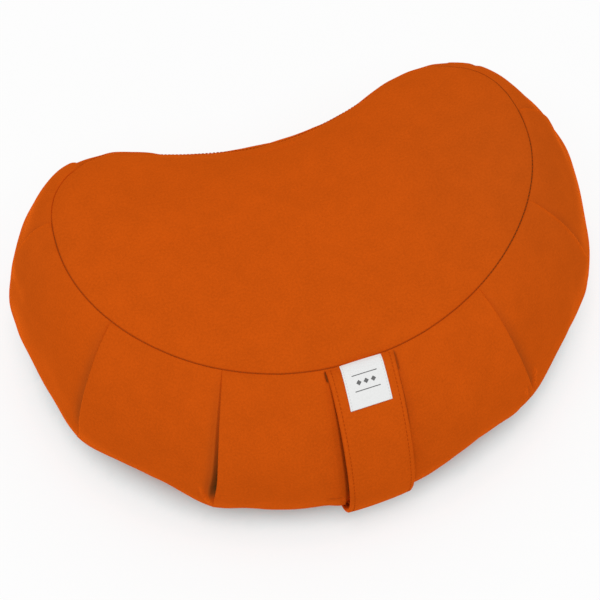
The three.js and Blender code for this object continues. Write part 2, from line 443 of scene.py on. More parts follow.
def painted_seam_shade(distance, side, share):
    """How much painted shade the cloth gets at a distance from the top seam, in its crease."""
    deepest = sum(
        np.interp(share, *PAINTED_SEAM_SHADE[name]) * (side == half) for name, half in SIDES.items()
    )
    return deepest * bell(distance, GROOVE["painted_shade_reach"])


def painted_spot_shade(points):
    """How much painted shade the cloth gets at places towards the ends."""
    away = (np.linalg.norm(points[..., :2] - np.array(spot["place"]), axis=-1) for spot in PAINTED_SHADE_SPOTS)
    return sum(spot["dark"] * bell(gap, spot["reach"]) for spot, gap in zip(PAINTED_SHADE_SPOTS, away))


COLUMN = ("side", "share", "place") + tuple(
    f"{key}_{end}" for end in ("before", "after") for key in NO_FOLD
)


def band_columns(pattern):
    """Columns round the band, closed: right half from the front to the back, then the left half
    back to the front. Gives an array for each name in COLUMN; place is a column's number in a
    fold's section, or -1."""
    half = pattern.half_length
    near = np.array(NEAR_FOLD) / half
    halves = []
    for name, side in SIDES.items():
        rows = []
        folds = [NO_FOLD, *PLEATS[name], {**NO_FOLD, "share": 1.0}]
        for before, after in zip(folds, folds[1:]):
            starts = before["share"] + near if before["step"] else np.zeros(1)
            ends = after["share"] - near[::-1] if after["step"] else np.ones(1)
            count = max(int((ends[0] - starts[-1]) * half / COLUMN_GAP), 2)
            inner = np.linspace(starts[-1], ends[0], count + 1)[1:-1]
            shares = closer_by_wrinkles(name, np.concatenate([starts, inner, ends]))
            places = [(share, -1) for share in shares]
            if after["step"]:
                places += [(after["share"], i) for i in range(len(FOLD_SECTION))]
            tail = (*before.values(), *after.values())
            rows += [(side, share, place, *tail) for share, place in places]
        halves.append(rows)
    return dict(zip(COLUMN, np.array(halves[0] + halves[1][1:-1][::-1]).T))


def closer_by_wrinkles(name, shares):
    """Adds a share between each two of a half that lie near a wrinkle."""
    middles = (shares[1:] + shares[:-1]) / 2
    wrinkles = [end[0] for w in CREASES if w["side"] == name for end in (w["start"], w["end"])]
    near = np.abs(middles[:, None] - np.array(wrinkles)).min(axis=1) < WRINKLED["near"]
    return np.sort(np.concatenate([shares, middles[near]]))


def fullness(side, share):
    """How much fuller than the plain form the band is at shares of the half seam."""
    right, left = FULLNESS["right"], FULLNESS["left"]
    table = np.array(right + left[-2:0:-1]) * MM
    around = np.where(side > 0, share, 2 - share)
    return cubic_rows(np.concatenate([table[-2:], table, table[:3]]), around * (len(right) - 1) + 2)


def crease_relief(pattern, side, base):
    """How far the small wrinkles stand out at places on the plain band."""
    total = 0
    for wrinkle in CREASES:
        half = SIDES[wrinkle["side"]]
        start, end = (
            pattern.form(np.array([half]), np.array([share]), [turn])[0, 0]
            for share, turn in (wrinkle["start"], wrinkle["end"])
        )
        line = end - start
        along = np.clip((base - start) @ line / (line @ line), 0, 1)
        away = np.linalg.norm(base - start - along[..., None] * line, axis=-1)
        faded = 1 - (2 * along - 1) ** 6  # at both of its ends
        height = wrinkle["height"] * faded * (side == half)
        total = total + height * bell(away, wrinkle["width"])
    return total


def fold_drift(turn, back):
    """Share of a fold's drift at a turn of the profile; it runs out again from the turn back."""
    d = DRIFT_TURNS
    outward = np.sin(math.pi / 2 * np.minimum(turn / d["full"], 1))
    return outward * (1 - smooth((turn - back) / d["back_over"]))


def fold_opening(columns, end, down):
    """How far the folds before or after the columns have opened at turns of the profile, how far
    the gaps beside them have, and how thick the folded edge is."""
    o = OPENING
    turn = down / columns["shut_" + end]
    rooted = smooth(down / o["rooted"])
    opened = eased(turn, FOLD_TURNS, FOLD_OPEN, o["eased"]) * rooted
    parted = eased(turn, GAP_TURNS, GAP_OPEN, o["eased"]) ** columns["late_" + end] * rooted
    thinned = smooth((turn - o["edge_ends"]) / o["edge_over"])
    edge = smooth(down / o["edge_rooted"]) * (1 - thinned)
    return opened, parted, FOLD["layer"] * edge * np.minimum(columns["step_" + end] / MM, 1)


def fold_distances(pattern, columns):
    """How far the columns lie past the fold before them, and how far from the one after them."""
    share = columns["share"]
    past, ahead = share - columns["share_before"], columns["share_after"] - share
    return past * pattern.half_length, ahead * pattern.half_length


def corner_tent(distance):
    """How far out a pleat still pushes the band at a distance from it, as a share."""
    return np.clip(1 - distance / FOLD["corner_reach"], 0, 1)


def band_grid(pattern, columns, turns):
    """The pleated band as a grid of points, with its outward normals and its wrinkles' height."""
    c = columns
    side, share, place = c["side"], c["share"], c["place"]
    turns = np.asarray(turns, float)
    down = turns[:, None]
    along = (share - c["share_before"]) / (c["share_after"] - c["share_before"])
    drift = c["drift_after"] * along**2 * fold_drift(down, c["back_after"])
    drift = drift + c["drift_before"] * (1 - along) ** 2 * fold_drift(down, c["back_before"])
    drifted = share - drift / pattern.half_length
    base = pattern.form(side, drifted, turns)
    normal = pattern.form_normals(side, drifted, turns)
    opened, parted, layer = fold_opening(c, "after", down)
    opened_before, parted_before, layer_before = fold_opening(c, "before", down)
    rise = (layer + c["step_after"] * opened) / 2
    sink = (layer_before + c["step_before"] * opened_before) / 2
    past, ahead = fold_distances(pattern, c)
    mouth = c["mouth_before"] * parted_before
    rounded = mouth * FOLD["rounded"] * bell(past, FOLD["rounded_reach"])
    rounded = rounded * np.minimum(c["step_before"] / FOLD["rounded_step"], 1)
    relief = rise * along**2 - sink * (1 - along) ** 2 - rounded
    run = mouth * np.clip(1 - past / FOLD["reach"], 0, 1) ** 2 * FOLD["pushed"]
    for i, point in enumerate(FOLD_SECTION):
        here = place == i
        step, gap = 2 * rise[:, here], parted[:, here]
        mouth = c["mouth_after"][here] * gap
        lip = np.minimum(FOLD["lip"], FOLD["lip_share"] * step)
        sunk = point["gaps"] * mouth * np.sqrt(gap) * FOLD["depth"]
        deep = point["lips"] * lip + point["steps"] * step + sunk
        relief[:, here] = rise[:, here] - deep
        closed = point["closed"] * MM * (1 - smooth(gap * FOLD["closes"]))
        run[:, here] = closed + point["mouths"] * mouth - point["tucks"] * FOLD["tuck"] * gap
    corner = c["corner_before"] * corner_tent(past) + c["corner_after"] * corner_tent(ahead)
    spread = held_at_ends(down, FULL_FROM, FULL_FROM, 2)
    wrinkled = crease_relief(pattern, side, base)
    relief = relief + (fullness(side, share) + corner) * spread + wrinkled
    out = pattern.seam_at(side, drifted)[1]
    seamward = np.stack([-out[..., 1], out[..., 0], 0 * drifted], -1) * side[:, None]
    from_bottom = np.linalg.norm(base - base[-1:], axis=-1)
    relief = relief - seam_groove(from_top_seam(base, share)) - seam_groove(from_bottom)
    return base + normal * relief[..., None] + seamward * run[..., None], normal, wrinkled


def panel_ring(scale, ring):
    """A seam ring drawn in towards the panel's centre, and how far each point has moved."""
    centre = np.array([0, SEAM["centre_y"]])
    flat = centre + (ring - centre) * scale
    return flat, np.linalg.norm(flat - ring, axis=1)


def panel_scales(rings):
    """Shares of the way from a panel's centre to its seam, close together by the seam."""
    near = 1 - np.array(NEAR_SEAM) / PANEL_REACH
    return np.concatenate([near, np.linspace(near[-1], INNERMOST, rings + 1)[1:]])


# ---- Meshes ----


def new_object(name, data):
    """An object in the scene's own collection."""
    made = bpy.data.objects.new(name, data)
    bpy.context.scene.collection.objects.link(made)
    return made


def new_mesh(name, vertices, edges=(), faces=()):
    mesh = bpy.data.meshes.new(name)
    mesh.from_pydata([tuple(v) for v in vertices], edges, [tuple(map(int, f)) for f in faces])
    return mesh


def new_piece(name, vertices, faces, material, uv=None):
    """A smooth mesh object at the origin; uv holds one pair for each face corner."""
    mesh = new_mesh(name, vertices, faces=faces)
    mesh.materials.append(material)
    if uv is not None:
        layer = mesh.uv_layers.new(name="cloth")
        layer.data.foreach_set("uv", np.asarray(uv, np.float32).ravel())
    mesh.polygons.foreach_set("use_smooth", [True] * len(mesh.polygons))
    mesh.update()
    return new_object(name, mesh)


def set_attribute(mesh, name, values):
    """One number or one direction for each vertex, for a material or a node group to read."""
    values = np.asarray(values, np.float32)
    kind, key = ("FLOAT", "value") if values.ndim == 1 else ("FLOAT_VECTOR", "vector")
    mesh.attributes.new(name, kind, "POINT").data.foreach_set(key, values.ravel())


def grid_cells(rows, columns):
    """Row, column and next column of each cell of a grid that is closed round its rows."""
    row, column = np.meshgrid(np.arange(rows - 1), np.arange(columns), indexing="ij")
    row, column = row.ravel(), column.ravel()
    return row, column, (column + 1) % columns


def loft_faces(rows, columns):
    """Quads of a tube of closed rings."""
    row, column, after = grid_cells(rows, columns)
    first, below = row * columns, (row + 1) * columns
    return np.stack([first + column, below + column, below + after, first + after], -1)


def faces_inwards(outer, inner, kept):
    """Faces between a ring and the next one inwards, which holds only the kept columns."""
    faces = []
    count = len(outer)
    for i, first in enumerate(kept):
        last = kept[(i + 1) % len(kept)]
        stop = last + 1 if last > first else last + count + 1
        span = (outer[j % count] for j in range(first, stop))
        faces.append((inner[i], *span, inner[(i + 1) % len(kept)]))
    return faces


class Filling:
    """How far the filling presses each place of the cover outwards, from a cloth simulation of a
    coarse copy that is held at its seams and, less firmly, at its pleats."""

    def __init__(self, pattern):
        f = FILLING
        self.columns = f["columns"]
        self.scales = np.linspace(f["inner_ring"], 1, f["rings"])
        self.turns = np.linspace(0, 2, f["turns"])
        side, share = places_around(np.arange(self.columns) / self.columns * 2)
        seam = pattern.seam_at(side, share)[0]
        rings = []
        for scale in self.scales[:-1]:
            flat, _ = panel_ring(scale, seam)
            rings.append(np.column_stack([flat, pattern.crown_height(*flat.T)]))
        band = pattern.form(side, share, self.turns)
        normals = [np.tile([0.0, 0.0, 1.0], (self.columns, 1))] * len(rings)
        normals = np.array(normals + list(pattern.form_normals(side, share, self.turns)))
        points = np.array(rings + list(band))
        hold = np.zeros(points.shape[:2])
        seam_row = len(rings)
        hold[seam_row] = hold[-1] = 1
        for name, half in SIDES.items():
            for fold in PLEATS[name]:
                target = fold["share"] if half > 0 else 2 - fold["share"]
                nearest = int(round(target / 2 * self.columns)) % self.columns
                hold[seam_row:, nearest] = np.maximum(hold[seam_row:, nearest], f["pleat_hold"])
        moves = np.einsum("rci,rci->rc", self.press(points, hold) - points, normals)
        moves -= moves.mean(axis=1, keepdims=True)
        inwards = np.concatenate([smooth(self.scales[:-1] / f["full_by"]), np.ones(len(band))])
        self.moves = np.tanh(moves / f["most"]) * f["most"] * inwards[:, None]

    def press(self, points, hold):
        """Runs the simulation and gives the points where they end."""
        f, scene = FILLING, bpy.context.scene
        rows, count = points.shape[:2]
        last = rows * count
        faces = [*loft_faces(rows, count), range(count), range(last - count, last)[::-1]]
        mesh = new_mesh("filling", points.reshape(-1, 3), faces=faces)
        copy = new_object("filling", mesh)
        held = copy.vertex_groups.new(name="held")
        for index, weight in enumerate(hold.ravel()):
            if weight:
                held.add([index], float(weight), "REPLACE")
        cloth = copy.modifiers.new("cloth", "CLOTH")
        for key, value in {
            "quality": f["quality"],
            "use_pressure": True,
            "uniform_pressure_force": f["pressure"],
            "vertex_group_mass": "held",
            "pin_stiffness": f["pin_stiffness"],
            "shrink_min": -f["slack"],
            "bending_stiffness": f["stiffness"],
        }.items():
            setattr(cloth.settings, key, value)
        cloth.settings.effector_weights.gravity = 0
        cloth.collision_settings.use_collision = False
        cloth.point_cache.frame_start, cloth.point_cache.frame_end = 1, f["frames"]
        for number in range(1, f["frames"] + 1):
            scene.frame_set(number)
        evaluated = copy.evaluated_get(bpy.context.evaluated_depsgraph_get())
        pressed = np.zeros(last * 3)
        evaluated.data.vertices.foreach_get("co", pressed)
        scene.frame_set(1)
        bpy.data.objects.remove(copy)
        bpy.data.meshes.remove(mesh)
        return pressed.reshape(points.shape)

    def at(self, rows, columns):
        """Moves at rows, 0 to 1 up to the seam and 1 to 3 down the band, and at columns, 0 to 2
        round the cushion."""
        rings = len(self.scales) - 1
        inner = (rows - self.scales[0]) / (1 - self.scales[0]) * rings
        outer = rings + (rows - 1) / 2 * (len(self.turns) - 1)
        down = cubic_rows(self.moves, np.maximum(np.where(rows <= 1, inner, outer), 0))
        wrapped = np.concatenate([down.T[-2:], down.T, down.T[:3]])
        return cubic_rows(wrapped, columns / 2 * self.columns + 2).T


class CoverMesh:
    """Vertices, faces and cloth coordinates of the whole cover: the band's closed rings, and more
    rings from its two seams in to the middles of the top panel and of the base."""

    def __init__(self, pattern, filling):
        self.pattern, self.filling = pattern, filling
        self.columns = band_columns(pattern)
        side, share = self.columns["side"], self.columns["share"]
        self.count = len(side)
        self.around = np.where(side > 0, share, 2 - share)
        self.vertices, self.faces, self.uv, self.painted = [], [], [], []

    def add_ring(self, points, painted=0.0):
        """Adds vertices and returns their numbers."""
        start = sum(len(p) for p in self.vertices)
        self.vertices.append(points)
        self.painted.append(np.broadcast_to(painted, len(points)))
        return np.arange(start, start + len(points))

    def build(self):
        """Makes the band, pressed out by the filling, and closes it with the two panels."""
        turns = self.turns()
        band, normal, wrinkled = band_grid(self.pattern, self.columns, turns)
        presses = self.filling.at(1 + turns, self.around)
        presses += undulation(band, SEED, UNEVEN["band"]) * self.unevenness(turns)
        band = band + normal * presses[..., None]
        painted = self.painted_light(turns, band, wrinkled)
        ids = np.array([self.add_ring(*ring) for ring in zip(band, painted)])
        self.add_band_faces(band)
        self.add_disc(ids[0], band[0], PANEL_RINGS, self.crowned)
        self.add_disc(ids[-1], band[-1], BASE_RINGS, self.flat_on_floor, flip=True)

    def turns(self):
        """Turns of the band's rows, closer by the seams and where the back seam lies."""
        near = np.array(SEAM_TURNS)
        top = np.linspace(near[-1], TOP_TURNS[0], TOP_TURNS[1])[1:]
        inner = np.linspace(top[-1], 2 - near[-1], BAND_TURNS)[1:-1]
        return np.concatenate([near, top, inner, 2 - near[::-1]])

    def unevenness(self, turns):
        """Height of the band's soft unevenness, which is halved at the top seam."""
        held = held_at_ends(turns, UNEVEN["top_turns"], UNEVEN["base_turns"], 2)
        return (self.pattern.s.unevenness * held * (0.5 + 0.5 * smooth(turns)))[:, None]

    def painted_light(self, turns, band, wrinkled):
        """Painted light and shade: 1 along the edges of the folds, below 0 deep in their gaps and
        in the seams. Above 0 is painted highlight, and below 0 is painted shade.
        """
        c, down = self.columns, turns[:, None]
        opened, parted, _ = fold_opening(c, "after", down)
        past, ahead = fold_distances(self.pattern, c)
        # painted highlight along the folds' edges
        edge = bell(ahead, FOLD["highlight_reach"]) * (c["place"] <= 1)
        # less the painted shade of the spots towards the ends
        total = c["rub_after"] * edge * opened - painted_spot_shade(band)
        # painted shade deep in the open gaps
        for i, point in enumerate(FOLD_SECTION):
            dark = (c["place"] == i) * point["dark"] * FOLD["dark"] * c["dark_after"]
            total -= dark * parted ** FOLD["dark_power"]
        # painted shadow on the cloth beside an open fold
        height = np.minimum(c["step_before"] / FOLD["shadow_step"], 1)
        beside = height * c["dark_before"] * bell(past, FOLD["shadow_reach"])
        total -= FOLD["shadow"] * fold_opening(c, "before", down)[0] * beside
        # painted highlight on the wrinkles' ridges and painted shade in their valleys
        total += np.maximum(wrinkled, 0) * WRINKLED["ridge_highlight"]
        total += np.minimum(wrinkled, 0) * WRINKLED["valley_shade"]
        # painted light along the widest line, standing in for light from the floor
        total += PAINTED_RIM_LIGHT["by"] * bell(down - PAINTED_RIM_LIGHT["turn"], PAINTED_RIM_LIGHT["over"])
        # painted shade in the top seam's crease
        return total - painted_seam_shade(from_top_seam(band, c["share"]), c["side"], c["share"])

    def add_band_faces(self, band):
        """Faces of the band, whose cloth coordinates are lengths round it and down it."""
        down = lengths_along(band)
        widest = band[len(band) // 2]
        gaps = np.linalg.norm(np.roll(widest, -1, axis=0) - widest, axis=-1)
        across = np.broadcast_to([0, *np.cumsum(gaps)], (len(band), self.count + 1))
        uv = np.stack([across, np.concatenate([-down, -down[:, :1]], axis=1)], -1)
        self.faces += [tuple(q) for q in loft_faces(*band.shape[:2])]
        row, column, _ = grid_cells(*band.shape[:2])
        corners = ((row, column), (row + 1, column), (row + 1, column + 1), (row, column + 1))
        self.uv.append(np.stack([uv[corner] for corner in corners], 1).reshape(-1, 2))

    def add_disc(self, outer, seam, rings, height_of, flip=False):
        """Rings from a seam inwards to a middle point. Their cloth coordinates are their place
        seen from above."""
        faces, full, around = [], seam[:, :2], self.around
        halvings = list(HALVINGS)
        for scale in panel_scales(rings):
            kept = np.arange(len(outer))
            if len(outer) == self.count:
                kept = kept[self.columns["place"] <= 0]
            if halvings and scale < halvings[0]:
                halvings.pop(0)
                kept = kept[::2]
            full, around = full[kept], around[kept]
            side, share = places_around(around)
            flat, distance = panel_ring(scale, full)
            # painted shade in the seam's crease, and the painted shade of the spots towards the
            # ends
            dark = painted_seam_shade(distance + pulled_down(share), side, share)
            z = height_of(flat, distance, scale, around)
            inner = self.add_ring(np.column_stack([flat, z]), -dark - painted_spot_shade(flat))
            faces += faces_inwards(outer, inner, kept)
            outer = inner
        middle = np.array([[0, SEAM["centre_y"]]])
        z = height_of(middle, np.array([1.0]), 0.0, np.zeros(1))
        centre = self.add_ring(np.column_stack([middle, z]))
        after = np.roll(outer, -1)
        faces += [(centre[0], *pair) for pair in zip(outer, after)]
        faces = [face[::-1] for face in faces] if flip else faces
        points = np.concatenate(self.vertices)
        self.faces += faces
        self.uv.append(points[np.concatenate([np.array(f) for f in faces])][:, :2])

    def crowned(self, flat, distance, scale, around):
        """Heights of the filled top panel."""
        sunk = seam_groove(distance + pulled_down(places_around(around)[1]))
        z = self.pattern.crown_height(*flat.T) - sunk
        points = np.column_stack([flat, z])
        z += self.filling.at(np.array([scale]), around)[0]
        held = self.pattern.s.unevenness * smooth(distance / UNEVEN["from_edge"])
        return z + undulation(points, SEED + 1, UNEVEN["panel"]) * held

    def flat_on_floor(self, flat, distance, scale, around):
        """Heights of the base, which lies on the floor inside its edge."""
        z = PROFILE["bottom_seam_up"] * (1 - smooth(distance / BASE_EDGE)) + seam_groove(distance)
        return np.maximum(z, 0)


# ---- The handle and its tag ----

HANDLE = {
    "aside": -0.7 * MM,
    "curl": 1.0 * MM,  # how far its left edge stands up, away from its sewn ends
    "free_from": 15 * MM,
    "free_to": 60 * MM,
    "flare": 1.0 * MM,  # how much further out its edges lie at the top seam
    "flare_reach": 13 * MM,
    "flared_from": 16 * MM,
    "flared_over": 8 * MM,
    "lean_run": 133 * MM,
    "first_turns": (0.08, 25),  # closer rows from the top seam to here
    "last_turn": 1.95,
    "rows": 150,
    "clearance": 0.3 * MM,
    "lift_eased": 0.2,
    "plan_radius": 260 * MM,
    "stitch_inset": 3.2 * MM,
    "stitch_groove": 0.3 * MM,
    "groove_reach": 0.9 * MM,
    "groove_from": 10 * MM,
    "sewn_thickness": 0.9 * MM,
    "sewn_length": 9 * MM,
    "round": 9,  # points of its section round an edge, over it and under it
    "over": 60,
    "under": 16,
}
LIFT_TURNS = (0.0, 0.12, 0.3, 0.6, 0.8, 1.0, 1.15, 1.95)
LIFT = (0.0, 0.35, 0.75, 1.0, 0.85, 0.3, 0.05, 0.0)
TAG = {
    "aside": 0.3 * MM,
    "first": 1.9 * MM,
    "corner": 0.3 * MM,
    "above": 0.15 * MM,
    "thinnest": 0.15,
    "end_rows": (0.0, 0.12 * MM, 0.3 * MM, 0.6 * MM),
    "rows_from": 1.2 * MM,
    "rows": 44,
    "round": 7,
    "over": 40,
    "under": 14,
}


def strip_section(width, thickness, piece):
    """Places round the section of a flat strip with rounded edges: across, and height as a share
    of the thickness."""
    radius = thickness / 2
    edge = width / 2 - radius
    angle = np.linspace(-math.pi / 2, math.pi / 2, piece["round"])
    right = [(edge + radius * math.cos(a), 0.5 + 0.5 * math.sin(a)) for a in angle]
    top = [(x, 1.0) for x in np.linspace(edge, -edge, piece["over"])[1:-1]]
    under = [(x, 0.0) for x in np.linspace(-edge, edge, piece["under"])[1:-1]]
    return np.array(right + top + [(-x, y) for x, y in right[::-1]] + under)


class Handle:
    """The strap: a doubled strip of cloth on the front line of the band."""

    def __init__(self, pattern):
        self.s, h = pattern.s, HANDLE
        near, count = h["first_turns"]
        fine = np.linspace(0.0, near, count)[:-1]
        fine = np.concatenate([fine, np.linspace(near, h["last_turn"], h["rows"])])
        front = {name: column[:1] for name, column in band_columns(pattern).items()}
        line = band_grid(pattern, front, fine)[0][:, 0]
        tangent = np.gradient(line, axis=0)
        tangent[:, 0] = 0
        tangent = unit(tangent)
        self.out = np.stack([0 * tangent[:, 0], tangent[:, 2], -tangent[:, 1]], -1)
        gap = h["clearance"] + self.s.handle_lift * eased(fine, LIFT_TURNS, LIFT, h["lift_eased"])
        self.inner = line + self.out * gap[:, None]
        self.run = lengths_along(self.inner)
        self.length = self.run[-1]
        leant = np.minimum(self.run / h["lean_run"], 1)
        leant = (leant - leant**4 / 4) / (1 - 1 / 4)  # it hangs straight again by its lower end
        self.middle = h["aside"] - self.s.handle_lean * leant
        sewn = held_at_ends(self.run, h["sewn_length"], h["sewn_length"], self.length)
        thin = h["sewn_thickness"]
        self.thickness = thin + (self.s.handle_thickness - thin) * sewn

    def at(self, run, across, height):
        """Points at a run down the strap, a place across it, and a height over its inner face."""
        h = HANDLE
        inner, out = rows_at(run, self.run, self.inner, self.out)
        free = held_at_ends(run, h["free_from"], h["free_to"], self.length)
        leftward = 0.5 - across / self.s.handle_width
        height = height - across**2 / (2 * h["plan_radius"]) + h["curl"] * free * leftward**2
        points = inner + out * height[..., None]
        outer = smooth((np.abs(across) - h["flared_from"]) / h["flared_over"])
        flare = h["flare"] * np.exp(-run / h["flare_reach"]) * outer * np.sign(across)
        points[..., 0] += np.interp(run, self.run, self.middle) + across + flare
        return points

    def top(self, run, across, above=0.0):
        """Points over the strap's outer face."""
        thick = np.interp(run, self.run, self.thickness)
        inset = self.s.handle_width / 2 - np.abs(across)
        from_row = bell(inset - HANDLE["stitch_inset"], HANDLE["groove_reach"])
        sunk = HANDLE["stitch_groove"] * from_row * smooth(run / HANDLE["groove_from"])
        return self.at(run, across, thick - sunk + above)

    def grid(self, section):
        """Rings of points round the strap."""
        run, across, share = np.broadcast_arrays(self.run[:, None], *section.T[:, None])
        top, under = self.top(run, across), self.at(run, across, 0 * run)
        return under + (top - under) * share[..., None]

    def tag_grid(self, section, run):
        """Rings of points round the tag on the strap, with its thin ends and rounded corners."""
        corner, edge = TAG["corner"], self.s.tag_thickness / 2
        from_end = np.minimum(run, self.s.tag_length - run)
        tucked = np.maximum(corner - from_end, 0)
        narrow = corner - np.sqrt(np.maximum(corner**2 - tucked**2, 0))
        across = section[None, :, 0] * (1 - (narrow / (self.s.tag_width / 2))[:, None])
        thin = np.sqrt(np.maximum(1 - (1 - from_end / edge) ** 2, 0))
        thin = np.where(from_end > edge, 1, np.clip(thin, TAG["thinnest"], 1))
        share = 0.5 + (section[None, :, 1] - 0.5) * thin[:, None]
        down = np.broadcast_to(run[:, None] + TAG["first"], across.shape)
        lift = TAG["above"] + share * self.s.tag_thickness
        return self.top(down, across + TAG["aside"], lift)


def tube_piece(name, grid, material, uv_across, uv_along):
    """A closed piece from rings of points that run clockwise seen along the rings' order."""
    rows, count = grid.shape[:2]
    last = rows * count
    faces = [*loft_faces(rows, count)[:, [0, 3, 2, 1]]]
    faces += [range(count)[::-1], range(last - count, last)]
    flat = np.stack(np.broadcast_arrays(uv_across[None, :], uv_along[:, None]), -1).reshape(-1, 2)
    uv = np.concatenate([flat[np.array(f)] for f in faces])
    return new_piece(name, put_in_place(grid.reshape(-1, 3)), faces, material, uv)


# ---- Stitches: geometry nodes that follow lines on the cloth ----

STITCHES = {
    "around": 1200,  # points of the lines round the seams
    "top_rows": 60,  # rows of the plain form among which the top seam is looked for
    "down_strap": 240,
    "raised": 0.1,  # how high a thread's middle lies over its groove, in thread thicknesses
    "from_top": 3 * MM,
    "from_bottom": 6 * MM,
}


def link_nodes(tree, kind, settings=None, inputs=None):
    """Adds a node, sets its settings, then its sockets by name or number, and returns it."""
    made = tree.nodes.new(kind)
    for key, value in (settings or {}).items():
        setattr(made, key, value)
    for key, value in (inputs or {}).items():
        socket = made.inputs[key]
        value = getattr(value, "socket", value)
        if isinstance(value, bpy.types.NodeSocket):
            tree.links.new(value, socket)
        else:
            socket.default_value = value
    return made


def stitch_tree():
    """A node group that lays short threads along lines: its inputs are the pitch, the length and
    the thickness of a stitch, and its material."""
    tree = bpy.data.node_groups.new("stitches", "GeometryNodeTree")
    face = tree.interface
    face.new_socket("Line", in_out="INPUT", socket_type="NodeSocketGeometry")
    for name, default in (("Pitch", 3 * MM), ("Length", 2.2 * MM), ("Thickness", 0.5 * MM)):
        socket = face.new_socket(name, in_out="INPUT", socket_type="NodeSocketFloat")
        socket.default_value = default
        socket.subtype = "DISTANCE"
    face.new_socket("Thread", in_out="INPUT", socket_type="NodeSocketMaterial")
    face.new_socket("Stitches", in_out="OUTPUT", socket_type="NodeSocketGeometry")
    given = link_nodes(tree, "NodeGroupInput").outputs
    pitch, long, thick, thread = (given[k] for k in ("Pitch", "Length", "Thickness", "Thread"))

    def add(kind, inputs, **settings):
        return link_nodes(tree, kind, settings, inputs).outputs[0]

    curve = add("GeometryNodeMeshToCurve", {"Mesh": given["Line"]})
    points = add("GeometryNodeResampleCurve", {"Curve": curve, "Length": pitch}, mode="LENGTH")
    up = add("GeometryNodeInputNamedAttribute", {"Name": "up"}, data_type="FLOAT_VECTOR")
    along = add("GeometryNodeInputTangent", {})
    turn = add(
        "FunctionNodeAxesToRotation", {0: along, 1: up}, primary_axis="X", secondary_axis="Z"
    )
    stitch = add("GeometryNodeMeshUVSphere", {"Segments": 6, "Rings": 5, "Radius": 0.5})
    lying = add("GeometryNodeTransform", {"Geometry": stitch, "Rotation": (0, math.pi / 2, 0)})
    size = add("ShaderNodeCombineXYZ", {0: long, 1: thick, 2: thick})
    laid = {"Points": points, "Instance": lying, "Rotation": turn, "Scale": size}
    threads = add("GeometryNodeInstanceOnPoints", laid)
    real = add("GeometryNodeRealizeInstances", {0: threads})
    shaded = add("GeometryNodeSetShadeSmooth", {0: real})
    finished = add("GeometryNodeSetMaterial", {"Geometry": shaded, "Material": thread})
    link_nodes(tree, "NodeGroupOutput", {}, {0: finished})
    return tree


def make_stitches(name, lines, sizes, material):
    """One piece of stitches along lines, each a row of points with the cloth's outward normals."""
    edges, start = [], 0
    for line, _ in lines:
        edges += [(start + i, start + i + 1) for i in range(len(line) - 1)]
        start += len(line)
    points, ups = (np.concatenate(parts) for parts in zip(*lines))
    mesh = new_mesh(name, put_in_place(points), edges)
    set_attribute(mesh, "up", ups)
    guide = new_object(name + "_lines", mesh)
    tree = bpy.data.node_groups.get("stitches") or stitch_tree()
    modifier = guide.modifiers.new("stitches", "NODES")
    modifier.node_group = tree
    wanted = {
        "Pitch": sizes.stitch_pitch,
        "Length": sizes.stitch_pitch * sizes.stitch_share,
        "Thickness": sizes.thread_thickness,
        "Thread": material,
    }
    for item in tree.interface.items_tree:
        if item.in_out == "INPUT" and item.name in wanted:
            modifier[item.identifier] = wanted[item.name]
    evaluated = guide.evaluated_get(bpy.context.evaluated_depsgraph_get())
    stitched = bpy.data.meshes.new_from_object(evaluated)
    guide.modifiers.remove(modifier)
    bpy.data.objects.remove(guide)
    if not len(stitched.polygons):
        raise RuntimeError(f"{name}: no stitches were made")
    stitched.name = name
    piece = new_object(name, stitched)
    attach(piece, BODY)


# ---- Materials ----


class Value:
    """A number in a shader tree: arithmetic on it adds Math nodes."""

    def __init__(self, tree, socket):
        self.tree, self.socket = tree, socket

    def math(self, operation, second=0.0, first=None):
        terms = {0: self if first is None else first, 1: second}
        made = link_nodes(self.tree, "ShaderNodeMath", {"operation": operation}, terms)
        return Value(self.tree, made.outputs[0])

    def __add__(self, other):
        return self.math("ADD", other)

    __radd__ = __add__

    def __sub__(self, other):
        return self.math("SUBTRACT", other)

    def __rsub__(self, other):
        return self.math("SUBTRACT", self, other)

    def __mul__(self, other):
        return self.math("MULTIPLY", other)

    __rmul__ = __mul__

    def __abs__(self):
        return self.math("ABSOLUTE")

    def ribs(self, pitch, shift=None):
        """Waves between -1 and 1 with a pitch, shifted by an angle."""
        angle = self * (2 * math.pi / pitch)
        return (angle if shift is None else angle + shift).math("SINE")

    def folded(self, span):
        """Back and forth between 0 and the span."""
        return self.math("PINGPONG", span)

    def clamp(self):
        made = link_nodes(self.tree, "ShaderNodeClamp", {}, {0: self})
        return Value(self.tree, made.outputs[0])

    def above(self, edge, width):
        """0 below the edge and 1 past it, over the width."""
        return ((self - edge) * (1 / width)).clamp()

    def varied(self, by):
        """The number's difference from 0.5, times a factor."""
        return (self - 0.5) * by


def noise(tree, place, size, detail=2.0, roughness=0.5):
    """Noise whose features are about the size given, in metres."""
    made = link_nodes(
        tree, "ShaderNodeTexNoise", {},
        {"Vector": place, "Scale": 1 / size, "Detail": detail, "Roughness": roughness},
    )
    return Value(tree, made.outputs[0])


def mix_colour(tree, factor, first, second):
    made = link_nodes(
        tree, "ShaderNodeMix", {"data_type": "RGBA"}, {0: factor, 6: first, 7: second}
    )
    return made.outputs[2]


def attribute(tree, name):
    made = link_nodes(tree, "ShaderNodeAttribute", {"attribute_name": name})
    return Value(tree, made.outputs["Fac"])


def seen_directly(tree):
    """1 for what the camera sees, itself or through a mirror or glass, and 0 for other light."""
    rays = link_nodes(tree, "ShaderNodeLightPath").outputs
    camera, glossy, through = (
        Value(tree, rays[f"Is {kind} Ray"]) for kind in ("Camera", "Glossy", "Transmission")
    )
    return (camera + glossy + through).clamp()


